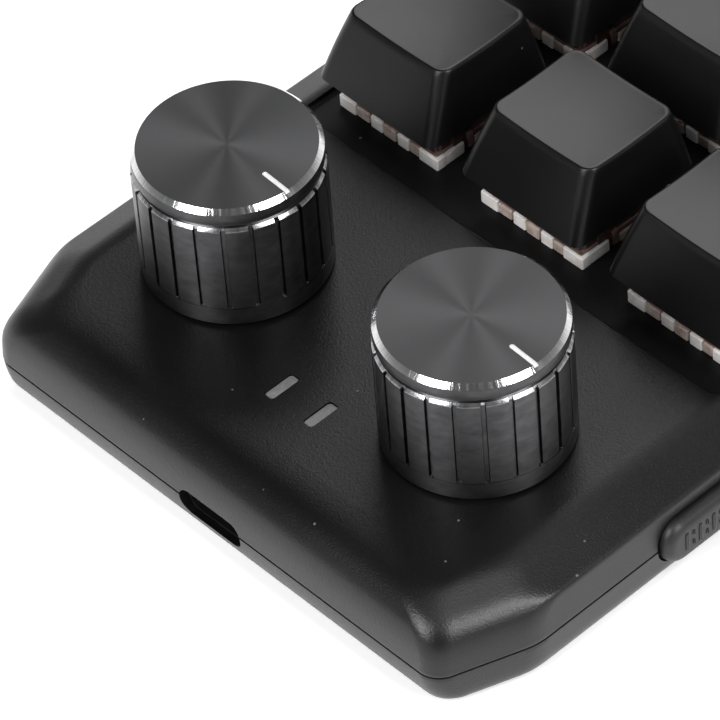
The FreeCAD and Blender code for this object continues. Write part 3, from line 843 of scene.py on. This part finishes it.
def switch_base():
    """Lower housing: milky cells round the rim; every second cell, the webs between them, the ledges and a notch take
    darker copies of the milky material as painted shade.
    """
    b = Build()
    # tub: outer wall, flange web, open inside, with a tube for the stem's pole
    wall = [rect_loop(-h, h, -w, w, r, z, 6, 3) for h, w, r, z in
            ((6.95, 6.95, 0.5, -5.88), (6.95, 6.95, 0.5, Z_WELL + 0.02), (7.45, 6.95, 0.6, Z_WELL + 0.02), (7.45, 6.95, 0.6, 0.42), (7.37, 6.87, 0.6, 0.5),
             (6.05, 6.05, 0.5, 0.5), (6.0, 6.0, 0.5, 0.45), (6.0, 6.0, 0.5, -5.0))]
    b.rings(wall, 2)
    tube = [circle_loop(0, 0, r, z, 32) for r, z in ((1.55, -5.0), (1.55, -2.45), (1.5, -2.4), (1.37, -2.4), (1.32, -2.45), (1.32, -8.8))]
    b.rings(tube, 2)
    b.plane(tube[-1], [], -8.8, True, 2)
    b.plane(wall[-1], [tube[0]], -5.0, True, 2)
    post = [circle_loop(0, 0, r, z, 32) for r, z in ((1.95, -5.88), (1.95, -9.05), (1.8, -9.2))]
    b.rings(post, 2)
    b.plane(post[-1], [], -9.2, False, 2)
    b.plane(wall[0], [post[0]], -5.88, False, 2)
    # rim cells on the +y side, from +x to -x: (width, material, how far in, height, foot gap); materials 1 and 3 are
    # painted shade
    cells = [(2.65, 0, 0.0, 1.60, 0.0), (2.10, 1, 0.08, 1.40, 0.12), (0.22, 3, 0.45, 1.15, 0.0), (1.93, 0, 0.0, 1.60, 0.05), (2.05, 1, 0.05, 1.50, 0.0),
             (0.22, 3, 0.45, 1.10, 0.0), (1.83, 0, 0.02, 1.56, 0.0), (1.55, 1, 0.10, 1.38, 0.10), (3.05, 0, 0.0, 1.52, 0.0)]
    for sy, row in ((1, cells), (-1, cells[::-1])):
        x = 7.8
        for w, mat, back, h, foot in row:
            ya, yb = sorted((sy * 5.9, sy * (7.35 - back)))
            g = 0.018
            soft_block(b, x - w + g, x - g, ya, yb, Z_WELL + 0.015 + foot, Z_WELL + h, 0.16, mat, rv=0.2 if w > 1 else 0.06)
            x -= w
    # a thin ledge of brown painted shade along both rows, and the corner returns, a notch as a dark block of painted
    # shade and a middle block on the x sides
    soft_block(b, -7.3, 7.5, 6.25, 6.98, 0.3, 0.80, 0.10, 3, rv=0.2)
    soft_block(b, -7.5, 7.3, -6.98, -6.25, 0.3, 0.80, 0.10, 3, rv=0.2)
    for s in (-1, 1):
        for x0, x1, y0, y1, mat, z0, h in ((6.35, 7.74, 3.1, 6.2, 0, 0.0, 1.45), (6.3, 7.3, 2.9, 6.6, 3, 1.2, 1.85), (6.6, 7.3, 2.45, 3.0, 2, 0.0, 1.0),
                                           (6.35, 7.6, 1.55, 2.45, 3, 0.0, 1.95), (6.35, 7.72, -0.9, 1.45, 1, 0.0, 1.15), (6.3, 7.35, -2.6, 1.5, 3, 1.05, 1.75),
                                           (6.35, 7.7, -6.2, -2.9, 0, 0.0, 1.45)):
            xa, xb = sorted((s * x0, s * x1))
            soft_block(b, xa, xb, y0, y1, Z_WELL + 0.015 + z0, Z_WELL + h, 0.14, mat, rv=0.2)
    return b


def switch_cover():
    """Upper housing: sloping sides, an opening for the stem, latch notches."""
    b = Build()
    z0, z1 = 0.55, 5.68
    out = []
    for t in (0, 0.03, 0.2, 0.5, 0.8, 0.96, 0.99, 1.0):
        d = {0.96: 0.02, 0.99: 0.1, 1.0: 0.25}.get(t, 0.0)
        hx, hy = 7.3 + (5.6 - 7.3) * t - d, 6.9 + (4.5 - 6.9) * t - d
        out.append(rect_loop(-hx, hx, -hy, hy, 0.9, z0 + (z1 - z0) * t, 6, 2))
    hole = [rect_loop(-3.75, 3.75, -3.05, 3.05, 0.3, z, 6, 2) for z in (z1, z1 - 0.06, z1 - 0.8)]
    room = [rect_loop(-h, h, -w, w, 0.4, z, 6, 2) for h, w, z in ((4.95, 3.85, z1 - 0.8), (5.6, 4.85, z1 - 3.0), (6.3, 5.85, z0))]
    b.rings(out, 0)
    b.plane(out[-1], [hole[0]], z1, True)
    b.rings(hole, 0, flip=True)
    b.plane(room[0], [hole[-1]], z1 - 0.8, False)
    b.rings(room, 0, flip=True)
    b.plane(out[0], [room[-1]], z0, False)
    # latches on the x sides
    for s in (-1, 1):
        for yy in (-3.6, 3.6):
            xa, xb = sorted((s * 6.2, s * 7.42))
            soft_block(b, xa, xb, yy - 0.9, yy + 0.9, 0.3, 2.3, 0.2, 0, rv=0.25)
    return b


def stem_part():
    b = Build()
    soft_block(b, -4.6, 4.6, -2.6, 2.6, 3.2, 4.8, 0.12, 0, rv=0.3)
    soft_block(b, -3.5, 3.5, -2.75, 2.75, 4.7, 5.62, 0.12, 0, rv=0.4)
    cross = []
    a, w = 2.0, 0.6
    for x, y in ((a, -w), (a, w), (w, w), (w, a), (-w, a), (-w, w), (-a, w), (-a, -w), (-w, -w), (-w, -a), (w, -a), (w, -w)):
        cross.append((x, y))
    cross = np.array(cross)
    lv = [np.column_stack([cross * k, np.full(12, z)]) for k, z in ((1.0, 5.5), (1.0, 9.1), (0.93, 9.28))]
    b.rings(lv, 0, cap0=True, cap1=True)
    b.rings([circle_loop(0, 0, r, z, 24) for r, z in ((1.0, -4.4), (1.22, -4.1), (1.22, 3.3))], 0, cap0=True, cap1=True)
    return b


def grouped(build, name, mats, body, node, sharp=40.0):
    """One object of the twelve copies that the node holds."""
    g = Build()
    v = np.array(build.v)
    for cx in COLS:
        for ry in ROWS:
            g.add(v + np.array([cx, ry, 0.0]), build.f)
    g.m = build.m * 12
    o = g.obj(name, mats, sharp=sharp)
    return finish_piece(o, body, [node])


grouped(switch_base(), "switch_bases", [M["milk"], M["beige"], M["tint"], M["brown"]], "case", "switch_lower_housings")
grouped(switch_cover(), "switch_covers", [M["tint"]], "case", "switch_upper_housings")

stem_master = stem_part().obj("stem_master", [M["stem"]])
stem_mesh = stem_master.data
bpy.data.objects.remove(stem_master)
for ri, ry in enumerate(ROWS):
    for ci, cx in enumerate(COLS):
        tag = "r%dc%d" % (ri + 1, ci + 1)
        o = bpy.data.objects.new("stem_" + tag, moved_mesh(stem_mesh, "stem_" + tag, cx, ry))
        bpy.context.scene.collection.objects.link(o)
        finish_piece(o, "key_" + tag, ["switch_stem_" + tag])


# ---------------------------------------------------------------------------
# Knobs
# ---------------------------------------------------------------------------
def knob_piece(side):
    n_f = 22
    half = math.pi / n_f
    w_in, w_out = 0.205 / 10.5, 0.285 / 10.5
    cols = []
    for i in range(n_f):
        c0 = (i + (0.17 if side == "left" else 0.65)) * 2 * half
        cols += [(c0 - w_out, 0), (c0 - w_in, 1), (c0, 1), (c0 + w_in, 1), (c0 + w_out, 0)]
        cols += [(c0 + w_out + (2 * half - 2 * w_out) * k / 7, 0) for k in range(1, 7)]
    th = np.array([c[0] for c in cols])
    deep = np.array([c[1] for c in cols])
    # profile: (radius, z, groove depth reaches here)
    prof = [(9.2, 0.42, 0), (9.3, 0.35, 0), (10.25, 0.35, 0), (10.4, 0.40, 0), (10.48, 0.50, 0), (10.5, 0.65, 0), (10.5, 2.60, 0),
            (10.495, 2.66, 0), (10.40, 2.67, 0), (10.40, 2.735, 0), (10.495, 2.745, 0), (10.5, 2.80, 0), (10.5, 2.84, 1), (10.5, 6.5, 1),
            (10.5, 10.0, 1), (10.5, 13.94, 1), (10.48, 14.04, 1), (10.44, 14.1, 1), (10.17, 14.42, 1), (10.1, 14.48, 0), (9.99, 14.53, 0),
            (9.95, 14.58, 0), (9.95, 14.93, 0), (9.99, 14.98, 0), (10.22, 14.99, 0), (10.31, 15.03, 0), (10.34, 15.11, 0), (10.34, 15.7, 0),
            (10.34, 16.31, 0), (10.335, 16.36, 0), (10.315, 16.385, 0), (9.775, 16.93, 0)]
    b = Build()
    loops, mats = [], []
    for r, z, g in prof:
        rr = np.where((deep == 1) & (g == 1), np.minimum(r, 10.15), r)
        loops.append(np.stack([rr * np.cos(th), rr * np.sin(th), np.full(len(th), z)], 1))
    bevel_from = len(prof) - 2
    b.rings(loops[:17], 0)
    b.rings(loops[16:19], 3)
    b.rings(loops[18:bevel_from + 1], 0)
    b.rings(loops[bevel_from:], 2)
    tops = [loops[-1]]
    for r in (9.4, 8.6, 7.6, 6.6, 5.6, 4.6, 3.6, 2.6, 1.7, 1.0, 0.5, 0.18):
        tops.append(np.stack([r * np.cos(th), r * np.sin(th), np.full(len(th), 16.93)], 1))
    b.rings(tops, 1)
    b.add(tops[-1], [tuple(range(len(th)))], 1)
    # inside: a plain bore up to the crown
    bore = [loops[0]] + [circle_like(th, 9.2, z) for z in (0.95, 6.0, 15.6)]
    b.rings(bore, 0, flip=True)
    b.add(bore[-1], [tuple(range(len(th)))[::-1]], 0)
    kx = KX[side]
    b.v = [(x + kx, y, z) for x, y, z in b.v]
    o = b.obj("knob_shell_" + side, [M["knob"], M["knob_top"], M["knob_bright"], M["knob_rim"], M["pointer"]], smooth=False, weld=2e-4)
    # pointer line: a milled slot that runs out through the bevel, close to -x
    turn = math.radians(-3.0)
    ct, st = math.cos(turn), math.sin(turn)
    c = Build()
    lo = round_loop([(-12.0, -0.28, 0.02), (-6.0, -0.28, 0.27), (-6.0, 0.28, 0.27), (-12.0, 0.28, 0.02)], 6, 3)
    lo = np.column_stack([kx + lo[:, 0] * ct - lo[:, 1] * st, lo[:, 0] * st + lo[:, 1] * ct])
    c.rings([np.column_stack([lo, np.full(len(lo), z)]) for z in (16.70, 18.0)], cap0=True, cap1=True)
    cut(o, c.obj("cut_pointer_" + side, [M["knob_bright"]], smooth=False))
    me = o.data
    cen = np.zeros(len(me.polygons) * 3)
    me.polygons.foreach_get("center", cen)
    cen = cen.reshape(-1, 3) * 1000 - OFF
    mi = np.zeros(len(me.polygons), np.int32)
    me.polygons.foreach_get("material_index", mi)
    along = (cen[:, 0] - kx) * ct + cen[:, 1] * st
    across = -(cen[:, 0] - kx) * st + cen[:, 1] * ct
    mi[(along < -5.8) & (np.abs(across) < 0.285) & (cen[:, 2] > 16.69) & (cen[:, 2] < 16.925)] = 4
    me.polygons.foreach_set("material_index", mi)
    # unroll the turned faces so that their lathe marks run round the axis
    uv = me.uv_layers.new(name="spin")
    co = np.zeros(len(me.vertices) * 3)
    me.vertices.foreach_get("co", co)
    co = co.reshape(-1, 3) * 1000 - OFF
    co[:, 0] -= kx
    for p in me.polygons:
        cx, cy = cen[p.index][0] - kx, cen[p.index][1]
        t0 = math.atan2(cy, cx)
        for li in p.loop_indices:
            q = co[me.loops[li].vertex_index]
            r = math.hypot(q[0], q[1])
            t = math.atan2(q[1], q[0]) if r > 1e-4 else t0
            while t - t0 > math.pi:
                t -= 2 * math.pi
            while t - t0 < -math.pi:
                t += 2 * math.pi
            u = {0: q[2] + 0.35 * r, 1: r}.get(mi[p.index], r - q[2])
            uv.data[li].uv = (u / 10.0, t / (2 * math.pi) + 0.5)
    shade(me, 28.0)
    weighted(o)
    return o


def circle_like(th, r, z):
    return np.stack([r * np.cos(th), r * np.sin(th), np.full(len(th), z)], 1)


for side in ("left", "right"):
    finish_piece(knob_piece(side), "knob_turn_" + side, ["knob_" + side])


# ---------------------------------------------------------------------------
# Slider, windows, feet
# ---------------------------------------------------------------------------
def slider_piece():
    b = Build()
    y0, y1, z0, z1 = -18.5, -5.3, -10.05, -4.45

    def lp(x, d, r=2.55):
        s = round_loop([(y1 - d, z0 + d, max(r - d, 0.4)), (y1 - d, z1 - d, max(r - d, 0.4)),
                        (y0 + d, z1 - d, max(r - d, 0.4)), (y0 + d, z0 + d, max(r - d, 0.4))], 12, 8)
        return np.stack([np.full(len(s), x), s[:, 0], s[:, 1]], 1)

    loops = [lp(-36.75, 0.0), lp(-37.9, 0.0)]
    for k in range(1, 9):
        a = k / 8 * math.pi / 2
        loops.append(lp(-37.95 - 1.2 * math.sin(a), 1.15 * (1 - math.cos(a))))
    loops.append(lp(-39.17, 1.5))
    b.rings(loops, 0, cap0=True)
    b.add(loops[-1], [tuple(range(len(loops[-1])))], 0)
    # grip ribs: upright bars with short offset bars between them
    def bar(yc, za, zb, w=0.24, h=0.13):
        L = []
        for x, d in ((-39.05, 0.0), (-39.17 - h * 0.5, 0.0), (-39.17 - h * 0.85, 0.05), (-39.17 - h, 0.13)):
            s = round_loop([(yc + w - d, za + d, 0.2 - d * 0.5), (yc + w - d, zb - d, 0.2 - d * 0.5),
                            (yc - w + d, zb - d, 0.2 - d * 0.5), (yc - w + d, za + d, 0.2 - d * 0.5)], 4, 1)
            L.append(np.stack([np.full(len(s), x), s[:, 0], s[:, 1]], 1))
        b.rings(L, 0, cap0=True, cap1=True)
    for i in range(9):
        yc = y1 - 2.75 - i * 1.0
        if i % 2 == 0:
            bar(yc, z0 + 1.55, z1 - 1.55)
        else:
            bar(yc, z0 + 1.75, z0 + 2.45, 0.2)
            bar(yc, z1 - 2.45, z1 - 1.75, 0.2)
    o = b.obj("slider_pad", [M["slider"]], sharp=45.0)
    weighted(o)
    return o


finish_piece(slider_piece(), "slider", ["slider_cap"])


def windows():
    b = Build()
    for sx in (2.57, -3.37):
        L = []
        for d, z in ((0.03, Z_ROOF), (0.03, -0.28), (0.06, -0.22), (0.12, -0.2)):
            L.append(rect_loop(sx - 0.7 + d, sx + 0.7 - d, 9.93 - 2.05 + d, 9.93 + 2.05 - d, 0.4, z, 5, 1))
        b.rings(L, 0, cap0=True, cap1=True)
        soft_block(b, sx - 1.1, sx + 1.1, 9.93 - 2.5, 9.93 + 2.5, Z_ROOF - 0.7, Z_ROOF, 0.1, 0)
        soft_block(b, sx - 0.5, sx + 0.5, 9.93 - 1.2, 9.93 + 1.2, -5.1, Z_ROOF - 0.6, 0.05, 0)
    return b.obj("indicator_windows", [M["window"]])


finish_piece(windows(), "case", ["indicator_light_pipes"])


def feet_piece():
    b = Build()
    for fx, fy in ((28.0, 6.0), (-28.0, 6.0), (28.0, -98.0), (-28.0, -98.0)):
        L = [circle_loop(fx, fy, r, z, 64) for r, z in ((4.98, Z_BOT + 0.48), (4.98, Z_BOT - 0.55), (4.93, Z_BOT - 0.78), (4.8, Z_BOT - 0.93),
                                                       (4.62, Z_BOT - 0.99), (4.4, Z_BOT - 1.0), (3.9, Z_BOT - 1.0), (3.84, Z_BOT - 0.96), (3.72, Z_BOT - 0.96),
                                                       (3.66, Z_BOT - 1.0), (1.5, Z_BOT - 1.0))]
        b.rings(L, 0, cap0=True, cap1=True)
    return b.obj("feet", [M["rubber"]], sharp=50.0)


finish_piece(feet_piece(), "case", ["rubber_feet"])

# CAD nodes whose shape is right keep it, with a finish of their own
# the USB receptacle takes the near-black metal, painted shade inside the slot
FIN = {"case_screws": "screw", "main_board": "board", "usb_c_receptacle": "inlet", "board_chips": "chip", "board_leds": "led",
       "switch_pins": "plated", "encoder_bases": "chip", "encoder_covers": "plated", "slide_switch_body": "plated"}
for s in ("left", "right"):
    FIN["knob_insert_" + s] = "chip"
    FIN["encoder_shaft_" + s] = "shaft"
    FIN["encoder_plunger_" + s] = "milk"
for ri in range(4):
    for ci in range(3):
        FIN["switch_spring_r%dc%d" % (ri + 1, ci + 1)] = "spring"
for node, key in FIN.items():
    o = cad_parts[node]
    o.data.materials.clear()
    o.data.materials.append(M[key])

# ---------------------------------------------------------------------------
# Floor, light
# ---------------------------------------------------------------------------
def floor_piece():
    me = bpy.data.meshes.new("floor")
    s = 6.0
    n = 12
    vs = [(-s + 2 * s * i / n, -s + 2 * s * j / n, 0.0) for j in range(n + 1) for i in range(n + 1)]
    fs = [(j * (n + 1) + i, j * (n + 1) + i + 1, (j + 1) * (n + 1) + i + 1, (j + 1) * (n + 1) + i) for j in range(n) for i in range(n)]
    me.from_pydata(vs, [], fs)
    m, nt, b = new_mat("floor_pale", (0.86, 0.86, 0.86), 0.7, spec=0.2)
    g = noise(nt, coords(nt), 3.0, 2.0, 0.5)
    nt.links.new(colour(nt, g, [(0.2, (0.85, 0.85, 0.85)), (0.8, (0.87, 0.87, 0.87))]), b.inputs["Base Color"])
    socket(b, "Emission Color", (1, 1, 1, 1))
    socket(b, "Emission Strength", 0.32)
    me.materials.append(m)
    o = bpy.data.objects.new("floor", me)
    bpy.context.scene.collection.objects.link(o)
    return o


floor_piece()

CENTRE = Vector(tuple(to_m((0.0, -12.0, 2.0))))
AZ_CAM = 49.85


def area(name, az_rel, el, dist, w, h, power, spread=math.pi):
    """Rectangular soft light aimed at the object. az_rel is measured from the camera, to image-right."""
    az, e = math.radians(AZ_CAM + az_rel), math.radians(el)
    d = Vector((-math.sin(az) * math.cos(e), math.cos(az) * math.cos(e), math.sin(e)))
    L = bpy.data.lights.new(name, "AREA")
    L.shape = "RECTANGLE"
    L.size, L.size_y = w, h
    L.energy = power
    L.spread = spread
    o = bpy.data.objects.new(name, L)
    bpy.context.scene.collection.objects.link(o)
    o.location = CENTRE + d * dist
    o.rotation_mode = "QUATERNION"
    o.rotation_quaternion = d.to_track_quat("Z", "Y")
    return o


def radiance_power(r, w, h):
    return r * math.pi * w * h


area("softbox_left", -47.6, 42, 0.75, 0.26, 0.50, radiance_power(13.0, 0.26, 0.50))
area("softbox_right", 43.8, 42, 0.75, 0.26, 0.50, radiance_power(13.0, 0.26, 0.50))
area("softbox_back", 153, 44, 1.0, 0.80, 0.46, radiance_power(2.45, 0.80, 0.46))
area("softbox_top", 65, 78, 0.9, 0.36, 0.36, radiance_power(3.0, 0.36, 0.36))

w = bpy.data.worlds.new("studio")
bpy.context.scene.world = w
w.use_nodes = True
wt = w.node_tree
bg = wt.nodes["Background"]
bg.inputs["Strength"].default_value = 1.0
sky = wt.nodes.new("ShaderNodeSeparateXYZ")
wt.links.new(wt.nodes.new("ShaderNodeTexCoord").outputs["Generated"], sky.inputs[0])
wt.links.new(colour(wt, sky.outputs[2], [(0.0, (1.1, 1.1, 1.1)), (0.12, (0.8, 0.8, 0.8)), (0.30, (0.22, 0.22, 0.22)),
                                         (0.55, (0.08, 0.08, 0.08)), (1.0, (0.04, 0.04, 0.04))]), bg.inputs["Color"])
bpy.context.scene.view_settings.view_transform = "Standard"
bpy.context.scene.view_settings.look = "None"
